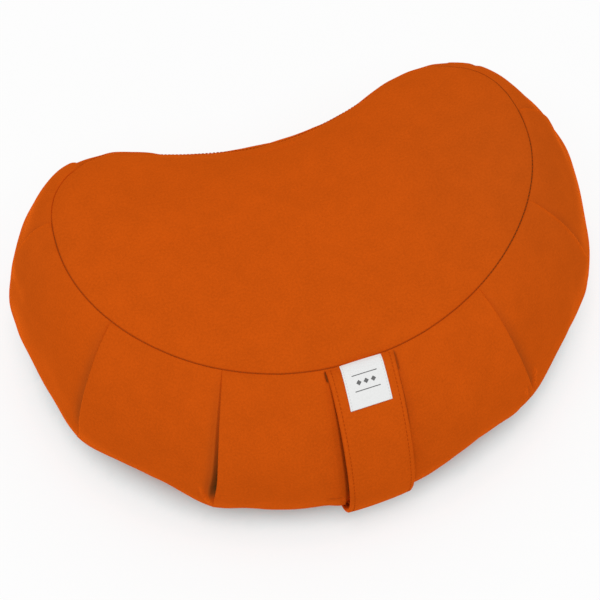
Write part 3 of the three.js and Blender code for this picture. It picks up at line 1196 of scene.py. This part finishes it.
def cloth_places(tree):
    """The cloth's own coordinates, in metres: as a vector, and then across and along."""
    uv = link_nodes(tree, "ShaderNodeUVMap", {"uv_map": "cloth"}).outputs[0]
    split = link_nodes(tree, "ShaderNodeSeparateXYZ", {}, {0: uv}).outputs
    return uv, Value(tree, split[0]), Value(tree, split[1])


def shade(colour, factor):
    """A colour made lighter or darker, as four numbers."""
    return (*(min(c * factor, 1) for c in colour[:3]), 1)


def new_material(name):
    material = bpy.data.materials.new(name)
    material.use_nodes = True
    tree = material.node_tree
    return material, tree, tree.nodes["Principled BSDF"]


def set_surface(tree, shader, colour, rough, bump, specular=0.0):
    """Sets how a shader's surface looks; bump is a strength, a distance and a height."""
    bump = dict(zip(("Strength", "Distance", "Height"), bump))
    raised = link_nodes(tree, "ShaderNodeBump", {}, bump)
    tree.links.new(colour, shader.inputs["Base Color"])
    tree.links.new(rough.socket, shader.inputs["Roughness"])
    tree.links.new(raised.outputs[0], shader.inputs["Normal"])
    shader.inputs["Specular IOR Level"].default_value = specular


TWILL = {"slant": 0.8, "pitch": 1.1 * MM, "wobble": 4.0}  # wobble is an angle


def brushed_cotton(name, colour, shade_colour, painted=None):
    """Brushed cotton twill: fine slanted ribs under a short nap, a little mottled. Where it has an
    attribute of painted light and shade, it gets a painted highlight where that is above 0, and
    painted shade towards the shade colour where it is below."""
    material, tree, shader = new_material(name)
    uv, across, along = cloth_places(tree)
    patches = noise(tree, uv, 45 * MM, 3.0)
    mottle = noise(tree, uv, 13 * MM, 3.0)
    flecks = noise(tree, uv, 1.7 * MM, 3.0, 0.6)
    fibres = noise(tree, uv, 0.7 * MM, 2.0, 0.6)
    wobble = noise(tree, uv, 3.5 * MM, 1.0)
    ribs = (across + along * TWILL["slant"]).ribs(TWILL["pitch"], wobble * TWILL["wobble"])
    tone = 0.5 + patches.varied(0.8) + mottle.varied(0.8)
    tone = tone + flecks.varied(2.2) + fibres.varied(1.6) + ribs * 0.1
    base = mix_colour(tree, tone.clamp(), shade(colour, 0.91), shade(colour, 1.09))
    if painted:
        painted = attribute(tree, painted)
        # painted highlight where the painted light is above 0
        painted_highlight = painted * flecks.above(0.35, 0.3) * 0.35
        base = mix_colour(tree, painted_highlight.clamp(), base, shade(colour, 1.35))
        # painted shade, towards the shade colour, where the painted light is below 0
        sunk = painted * -1 * (0.45 + flecks * 0.5 + fibres * 0.4)
        base = mix_colour(tree, sunk.clamp(), base, (*shade_colour, 1))
    height = ribs * 0.25 + fibres * 0.9 + flecks * 1.3
    set_surface(tree, shader, base, 0.86 + flecks.varied(0.12), (0.55, 0.16 * MM, height))
    shader.inputs["Sheen Weight"].default_value = 0.75
    shader.inputs["Sheen Roughness"].default_value = 0.4
    shader.inputs["Sheen Tint"].default_value = (1.0, 0.16, 0.01, 1)
    return material


def thread_material(name, colour):
    """Spun thread: fine twisted strands."""
    material, tree, shader = new_material(name)
    place = link_nodes(tree, "ShaderNodeTexCoord").outputs["Object"]
    strands = noise(tree, place, 0.35 * MM, 2.0)
    base = mix_colour(tree, strands, shade(colour, 0.8), shade(colour, 1.15))
    set_surface(tree, shader, base, 0.7 + strands * 0.15, (0.5, 0.05 * MM, strands))
    return material


# The tag's woven row of lozenges between two rules, and the threads that sew it down.
TAG_MOTIF = {
    "half": 1.9 * MM,
    "step": 5.4 * MM,
    "row": -16.0 * MM,
    "reach": 8.1 * MM,
    "edge": 0.12 * MM,
    "rules": (-10.5 * MM, -21.5 * MM),
    "rule": 0.28 * MM,
    "rule_edge": 0.1 * MM,
    "rule_reach": 9.3 * MM,
    "weave": 0.42 * MM,
    "sewn": 14.2 * MM,
    "stitch": 1.1 * MM,
    "thread": (0.25 * MM, 0.15 * MM),
    "thread_end": (0.4 * MM, 0.2 * MM),
}


def woven_label(name, colour, ink):
    """A damask-woven label: fine plain weave with a plain row of lozenges between two rules."""
    material, tree, shader = new_material(name)
    uv, across, along = cloth_places(tree)
    m = TAG_MOTIF
    weave = across.ribs(m["weave"]) * along.ribs(m["weave"])
    flecks = noise(tree, uv, 2.2 * MM, 3.0)
    tone = 0.5 + weave * 0.22 + flecks.varied(0.6)
    base = mix_colour(tree, tone.clamp(), shade(colour, 0.94), shade(colour, 1.03))
    half_step, sideways = m["step"] / 2, abs(across)
    from_middle = half_step - (across + half_step).folded(half_step)
    lozenges = 1 - (from_middle + abs(along - m["row"])).above(m["half"], m["edge"])
    lozenges = lozenges * (1 - sideways.above(m["reach"], 0.01 * MM))
    above, below = (
        1 - abs(along - row).above(m["rule"], m["rule_edge"]) for row in m["rules"]
    )
    rules = (above + below) * (1 - sideways.above(m["rule_reach"], m["rule_edge"]))
    line = 1 - abs(sideways - m["sewn"]).above(*m["thread"])
    sewn = line * along.folded(m["stitch"]).above(*m["thread_end"])
    base = mix_colour(tree, sewn * 0.35, base, shade(colour, 0.5))
    mask = ((lozenges + rules) * (0.86 + weave * 0.12)).clamp()
    base = mix_colour(tree, mask, base, (*ink, 1))
    height = weave * 0.5 + mask * 0.5 + flecks * 0.5
    set_surface(tree, shader, base, 0.78 + flecks * 0.1, (0.5, 0.06 * MM, height), 0.3)
    return material


# ---- Sizes and colours that a user would change ----


def number_property(name, text, default, **rest):
    return bpy.props.FloatProperty(name=name, description=text, default=default, **rest)


def length_property(name, text, default, most=1.0):
    return number_property(name, text, default, min=0, max=most, unit="LENGTH", precision=4)


def colour_property(name, text, *default):
    return bpy.props.FloatVectorProperty(
        name=name, description=text, default=default, size=3, min=0, max=1, subtype="COLOR"
    )


class CushionSizes(bpy.types.PropertyGroup):
    half_width: length_property("Half width", "Half the width of the seam outline", 180 * MM)
    half_depth: length_property("Half depth", "Half the depth of the seam outline", 120 * MM)
    bend: length_property("Bend", "How far the tips sit behind the middle", 23 * MM)
    back_bite: length_property("Back hollow", "How far the back is hollowed", 49 * MM)
    seam_height: length_property("Seam height", "Height of the top seam in the middle", 109 * MM)
    tip_rise: length_property("Tip rise", "Extra height of the seam at its tips", 33 * MM)
    crown: length_property("Crown", "How far the filling lifts the top panel", 18 * MM)
    bulge_front: length_property("Front bulge", "How far the band swells out in front", 77 * MM)
    bulge_side: length_property("Side bulge", "How far the band swells out at the sides", 50 * MM)
    bulge_back: length_property("Back bulge", "How far the band swells out at the back", 27 * MM)
    unevenness: length_property("Unevenness", "Height of the filling's soft unevenness", 0.7 * MM)
    handle_width: length_property("Handle width", "Width of the handle", 49.2 * MM)
    handle_thickness: length_property("Handle thickness", "Thickness of its doubled cloth", 3 * MM)
    handle_lift: length_property("Handle lift", "How far the handle stands off the band", 4.0 * MM)
    handle_lean: length_property("Handle lean", "How far its lower end is sewn aside", 11.0 * MM)
    tag_width: length_property("Tag width", "Width of the tag", 31 * MM)
    tag_length: length_property("Tag length", "Length of the tag", 33 * MM)
    tag_thickness: length_property("Tag thickness", "Thickness of the tag", 0.8 * MM)
    stitch_pitch: length_property("Stitch pitch", "From one stitch to the next", 2.9 * MM)
    stitch_share: number_property(
        "Stitch share", "Share of the pitch that the thread shows", 0.74, min=0.1, max=1,
        subtype="FACTOR",
    )
    thread_thickness: length_property("Thread thickness", "Thickness of the thread", 0.55 * MM)
    fill: number_property("Fill", "How full the cushion is", 0.85, min=0, max=1, subtype="FACTOR")


class CushionColours(bpy.types.PropertyGroup):
    cloth: colour_property("Cloth", "Colour of the cover's cloth", 0.572, 0.0835, 0.0042)
    # the colour that painted shade in gaps, creases and seams darkens the cloth towards
    shade_colour: colour_property("Creases", "Colour of the cloth deep in folds", 0.080, 0.055, 0.014)
    thread: colour_property("Thread", "Colour of the cover's thread", 0.42, 0.056, 0.003)
    tag: colour_property("Tag", "Colour of the tag", 0.82, 0.825, 0.82)
    tag_ink: colour_property("Tag yarn", "Colour of the tag's dark yarn", 0.03, 0.03, 0.032)
    floor: colour_property("Floor", "Colour of the floor", 0.97, 0.97, 0.97)


class CushionView(bpy.types.PropertyGroup):
    azimuth: number_property(
        "Azimuth", "Which way the camera looks from", math.radians(-18.86), subtype="ANGLE"
    )
    elevation: number_property(
        "Elevation", "How high the camera looks from", math.radians(62.21), subtype="ANGLE"
    )
    distance: length_property("Distance", "From the camera to the point it aims at", 0.8063, 5)
    lens: number_property(
        "Lens", "Focal length of the camera", 64.07, min=10, max=200, unit="CAMERA"
    )
    key: number_property("Key light", "Power of the large soft lamp", 16.5, min=0, unit="POWER")
    surround: number_property("Surround", "Strength of the white surround", 0.60, min=0)


AIM = (-20.6 * MM, -3.2 * MM, 81.9 * MM)
KEY_LAMP = {"place": (-0.2, -0.3, 2.0), "size": 1.0}
# The floor's fine grid, and how much plain white the camera sees in it at distances from the
# cushion's widest line; the white fades towards the cushion, which paints the contact shadow's
# falloff, and under that line it is a painted cool grey shadow against the cloth's warm glow.
FLOOR = {
    "half": 6.0,
    "near_half": 0.5,
    "step": 5 * MM,
    "distances": (-0.026, -0.018, -0.010, 0.005, 0.035, 0.1, 0.5),
    "clear": (0.0, 0.04, 0.26, 0.60, 0.80, 0.94, 1.0),
    "cool_up_to": 0.7,
    # near: the painted cool grey shadow; shaded: the floor's colour near the cushion, painted cool
    "near": (0.41, 0.76, 0.79, 1),
    "shaded": (0.86, 0.96, 0.98, 1),
    "white": 0.985,
    "outline": 160,  # points of each half of the widest line
}


# ---- Operators ----


class PieceOperator:
    """Shared by the operators: the sizes, colours and the pattern."""

    def given(self, context):
        scene = context.scene
        return scene.cushion_sizes, scene.cushion_colours, Pattern(scene.cushion_sizes)

    def declare(self, piece, solid, slot):
        """The piece lies on the cushion's body, in place of a solid, which is hidden. The slot is
        not used.
        """
        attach(piece, BODY)
        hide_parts(solid)


class CUSHION_OT_cover(PieceOperator, bpy.types.Operator):
    """Makes the filled cover with its crowned top, pleated band and flat base"""

    bl_idname = "cushion.cover"
    bl_label = "Make Cover"

    def execute(self, context):
        sizes, colours, pattern = self.given(context)
        made = CoverMesh(pattern, Filling(pattern))
        made.build()
        vertices = put_in_place(np.concatenate(made.vertices))
        cloth = brushed_cotton("orange_cloth", colours.cloth, colours.shade_colour, "painted_light")
        cover = new_piece("cushion_cover", vertices, made.faces, cloth, np.concatenate(made.uv))
        # the cover's painted highlights and painted shade, which its material reads
        set_attribute(cover.data, "painted_light", np.concatenate(made.painted))
        self.declare(cover, "cushion", "orange_cloth")
        return {"FINISHED"}


class CUSHION_OT_handle(PieceOperator, bpy.types.Operator):
    """Makes the carrying handle, a doubled strip of cloth sewn into both seams"""

    bl_idname = "cushion.handle"
    bl_label = "Make Handle"

    def execute(self, context):
        sizes, colours, pattern = self.given(context)
        handle = Handle(pattern)
        cloth = brushed_cotton("handle_cloth", colours.cloth, colours.shade_colour)
        section = strip_section(sizes.handle_width, sizes.handle_thickness, HANDLE)
        grid = handle.grid(section)
        strap = tube_piece("carrying_handle", grid, cloth, section[:, 0], -handle.run)
        self.declare(strap, "handle", "handle_cloth")
        return {"FINISHED"}


class CUSHION_OT_tag(PieceOperator, bpy.types.Operator):
    """Makes the small woven tag on the handle"""

    bl_idname = "cushion.tag"
    bl_label = "Make Tag"

    def execute(self, context):
        sizes, colours, pattern = self.given(context)
        section = strip_section(sizes.tag_width, sizes.tag_thickness, TAG)
        ends, inner = np.array(TAG["end_rows"]), TAG["rows_from"]
        inner = np.linspace(inner, sizes.tag_length - inner, TAG["rows"])
        run = np.concatenate([ends, inner, sizes.tag_length - ends[::-1]])
        grid = Handle(pattern).tag_grid(section, run)
        label = woven_label("tag_cloth", colours.tag, colours.tag_ink)
        tag = tube_piece("woven_tag", grid, label, section[:, 0], -run)
        self.declare(tag, "tag", "tag_cloth")
        return {"FINISHED"}


class CUSHION_OT_stitching(PieceOperator, bpy.types.Operator):
    """Sews the seams and the handle"""

    bl_idname = "cushion.stitching"
    bl_label = "Make Stitching"

    def execute(self, context):
        sizes, colours, pattern = self.given(context)
        thread = thread_material("cover_thread", colours.thread)
        raised = sizes.thread_thickness * STITCHES["raised"]
        side, share = places_around(np.linspace(0, 2, STITCHES["around"]))
        for name, line in (("top", self.on_top_seam), ("bottom", self.on_bottom_seam)):
            row = line(pattern, side, share, GROOVE["depth"] - raised)
            make_stitches(f"{name}_seam_stitches", [row], sizes, thread)
        handle = Handle(pattern)
        end = handle.length - STITCHES["from_bottom"]
        run = np.linspace(STITCHES["from_top"], end, STITCHES["down_strap"])
        inset = sizes.handle_width / 2 - HANDLE["stitch_inset"]
        rows = [self.on_strap(handle, run, np.full_like(run, x), raised) for x in (-inset, inset)]
        make_stitches("handle_stitches", rows, sizes, thread)
        return {"FINISHED"}

    def on_bottom_seam(self, pattern, side, share, sunk):
        """The line up in the bottom seam, with its outward normals."""
        line = pattern.form(side, share, [2.0])[0]
        out = np.broadcast_to((0.0, 0.0, -1.0), line.shape)
        return line - out * sunk, out

    def on_top_seam(self, pattern, side, share, sunk):
        """The line down in the top seam, with its outward normals."""
        turns = np.linspace(0, TOP_TURNS[0], STITCHES["top_rows"])
        form = pattern.form(side, share, turns)
        normals = pattern.form_normals(side, share, turns)
        normals[0] = (0, 0, 1)
        relief = fullness(side, share) * smooth(turns[:, None] / FULL_FROM)
        place = from_top_seam(form, share).argmin(axis=0), np.arange(len(share))
        return form[place] + normals[place] * (relief[place] - sunk)[:, None], normals[place]

    def on_strap(self, handle, run, across, above):
        """A line over the strap's outer face, with its outward normals."""
        line = handle.top(run, across, above)
        return line, unit(handle.top(run, across, above + MM) - line)


class CUSHION_OT_stage(PieceOperator, bpy.types.Operator):
    """Makes the floor, the lamp, the white surround and the camera"""

    bl_idname = "cushion.stage"
    bl_label = "Make Stage"

    def execute(self, context):
        _, colours, pattern = self.given(context)
        scene = context.scene
        view = scene.cushion_view
        self.make_floor(colours, pattern)
        self.make_surround(scene, view)
        self.make_lamp(view)
        self.make_camera(scene, view)
        scene.view_settings.view_transform = "Standard"
        return {"FINISHED"}

    def make_floor(self, colours, pattern):
        """A plain floor that the camera sees whiter the further it is from the cushion. Near the
        cushion it
        is painted: a cool grey shadow for the camera, and a cool tint against the cloth's orange
        glow.
        """
        material, tree, shader = new_material("floor")
        shader.inputs["Roughness"].default_value = 0.9
        shader.inputs["Specular IOR Level"].default_value = 0
        clear = attribute(tree, "clear")
        # painted cool tint and painted cool grey shadow near the cushion, against the cloth's
        # orange light
        away = clear.above(0, FLOOR["cool_up_to"])
        base = mix_colour(tree, away, FLOOR["shaded"], (*colours.floor, 1))
        tree.links.new(base, shader.inputs["Base Color"])
        tint = mix_colour(tree, away, FLOOR["near"], (1, 1, 1, 1))
        glow = {"Color": tint, "Strength": FLOOR["white"]}
        white = link_nodes(tree, "ShaderNodeEmission", {}, glow).outputs[0]
        layers = {0: seen_directly(tree) * clear, 1: shader.outputs[0], 2: white}
        mixed = link_nodes(tree, "ShaderNodeMixShader", {}, layers)
        tree.links.new(mixed.outputs[0], tree.nodes["Material Output"].inputs["Surface"])
        half, near, step = FLOOR["half"], FLOOR["near_half"], FLOOR["step"]
        line = np.array([-half, *np.arange(-near, near + step / 2, step), half])
        points = np.stack([*np.meshgrid(line, line), np.zeros((len(line), len(line)))], -1)
        points, count, cells = points.reshape(-1, 3), len(line), np.arange(len(line) - 1)
        first = (cells[:, None] * count + cells).ravel()
        quads = np.stack([first, first + 1, first + count + 1, first + count], -1)
        floor = new_piece("floor", points, quads, material)
        set_attribute(floor.data, "clear", self.clearness(pattern, points))

    def clearness(self, pattern, points):
        """How white the camera sees the floor, by its distance from the cushion's widest line."""
        share = np.linspace(0, 1, FLOOR["outline"])
        right, left = (pattern.form(np.full_like(share, half), share, [1.0])[0] for half in (1, -1))
        widest = put_in_place(np.concatenate([right, left[::-1]]))[:, :2]
        gap = np.linalg.norm(points[:, None, :2] - widest[None], axis=2)
        nearest = gap.argmin(axis=1)
        towards = widest[nearest] - points[:, :2]
        after = np.roll(widest, -1, axis=0)[nearest] - widest[nearest]
        inside = after[:, 0] * towards[:, 1] - after[:, 1] * towards[:, 0] < 0
        distance = gap.min(axis=1) * np.where(inside, -1, 1)
        return np.interp(distance, FLOOR["distances"], FLOOR["clear"])

    def make_surround(self, scene, view):
        """A white world that the camera sees plain white, and that lights the cushion less."""
        world = bpy.data.worlds.new("surround")
        world.use_nodes = True
        tree = world.node_tree
        strength = view.surround + seen_directly(tree) * (1 - view.surround)
        background = tree.nodes["Background"]
        background.inputs["Color"].default_value = (1, 1, 1, 1)
        tree.links.new(strength.socket, background.inputs["Strength"])
        scene.world = world

    def make_lamp(self, view):
        """A large soft lamp that looks at the middle of the cushion."""
        lamp = bpy.data.lights.new("key", "AREA")
        lamp.shape, lamp.size, lamp.energy = "DISK", KEY_LAMP["size"], view.key
        holder = new_object("key", lamp)
        place = Vector(KEY_LAMP["place"])
        holder.location = place
        holder.rotation_euler = (-place).to_track_quat("-Z", "Y").to_euler()

    def make_camera(self, scene, view):
        """The camera, turned to its aim from an azimuth and an elevation."""
        a, e = view.azimuth, view.elevation
        back = Vector((math.sin(a) * math.cos(e), -math.cos(a) * math.cos(e), math.sin(e)))
        camera = bpy.data.cameras.new("camera")
        camera.lens, camera.sensor_width = view.lens, 36
        camera.clip_start, camera.clip_end = 0.01, 50
        holder = new_object("camera", camera)
        holder.location = Vector(AIM) + back * view.distance
        holder.rotation_mode = "QUATERNION"
        holder.rotation_quaternion = (-back).to_track_quat("-Z", "Y")
        scene.camera = holder


class CUSHION_PT_panel(bpy.types.Panel):
    """Lists the cushion's sizes and colours, and the operators that make it"""

    bl_idname = "CUSHION_PT_panel"
    bl_label = "Crescent Cushion"
    bl_space_type = "VIEW_3D"
    bl_region_type = "UI"
    bl_category = "Cushion"

    def draw(self, context):
        column = self.layout.column()
        for operator in OPERATORS:
            column.operator(operator.bl_idname)
        for group in (getattr(context.scene, name) for name in GROUPS):
            box = self.layout.box()
            for name in group.bl_rna.properties.keys():
                if name not in ("rna_type", "name"):
                    box.prop(group, name)


GROUPS = {
    "cushion_sizes": CushionSizes,
    "cushion_colours": CushionColours,
    "cushion_view": CushionView,
}
OPERATORS = (
    CUSHION_OT_cover,
    CUSHION_OT_handle,
    CUSHION_OT_tag,
    CUSHION_OT_stitching,
    CUSHION_OT_stage,
)


def register():
    for name, group in GROUPS.items():
        bpy.utils.register_class(group)
        setattr(bpy.types.Scene, name, bpy.props.PointerProperty(type=group))
    for operator in OPERATORS:
        bpy.utils.register_class(operator)
    bpy.utils.register_class(CUSHION_PT_panel)


def unregister():
    bpy.utils.unregister_class(CUSHION_PT_panel)
    for operator in reversed(OPERATORS):
        bpy.utils.unregister_class(operator)
    for name, group in GROUPS.items():
        delattr(bpy.types.Scene, name)
        bpy.utils.unregister_class(group)


def main():
    register()
    bpy.ops.cushion.cover()
    bpy.ops.cushion.handle()
    bpy.ops.cushion.tag()
    bpy.ops.cushion.stitching()
    bpy.ops.cushion.stage()


if __name__ == "__main__":
    main()
